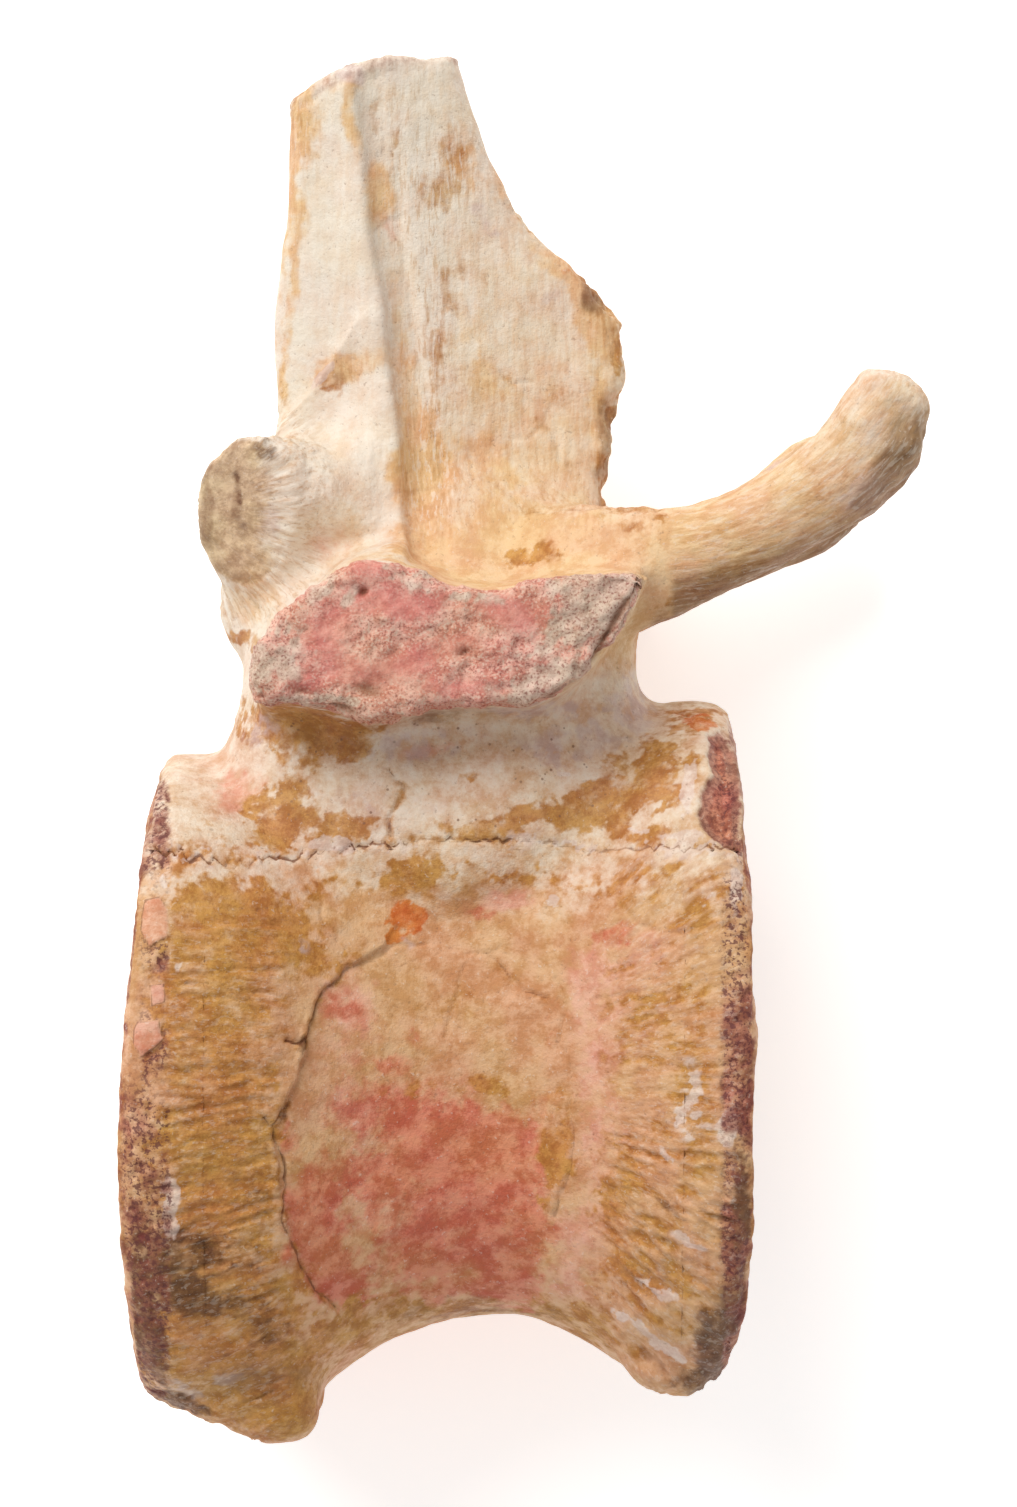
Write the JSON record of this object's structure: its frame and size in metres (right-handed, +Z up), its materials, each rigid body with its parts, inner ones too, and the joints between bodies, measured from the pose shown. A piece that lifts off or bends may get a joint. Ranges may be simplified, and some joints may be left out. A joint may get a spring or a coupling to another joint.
{
  "type": "fossil spinosaur tail vertebra",
  "caption": "Fossil tail vertebra of a spinosaurid dinosaur, lying on its left side: a spool-shaped centrum under a neural arch with a broken spine.",
  "frame": {"origin": "on the floor, under the middle of the bone's bounding box", "axes": "+X forward along the tail, +Y towards the tip of the neural spine, +Z up from the floor, out of the bone's right side"},
  "size_m": [0.1718, 0.3024, 0.1192],
  "materials": {
    "fossil_bone": "matt mineralised bone, cream to ochre",
    "broken_bone": "rough broken spongy bone, pink and red"
  },
  "bodies": {
    "root": {"centrum": "fossil_bone", "neural_arch_right": "fossil_bone", "neural_arch_left": "fossil_bone", "neural_spine": "fossil_bone", "prezygapophysis_right": "fossil_bone", "prezygapophysis_left": "fossil_bone", "postzygapophysis_right": "fossil_bone", "postzygapophysis_left": "fossil_bone", "transverse_process_right": "broken_bone", "transverse_process_left": "broken_bone"}
  },
  "joints": []
}
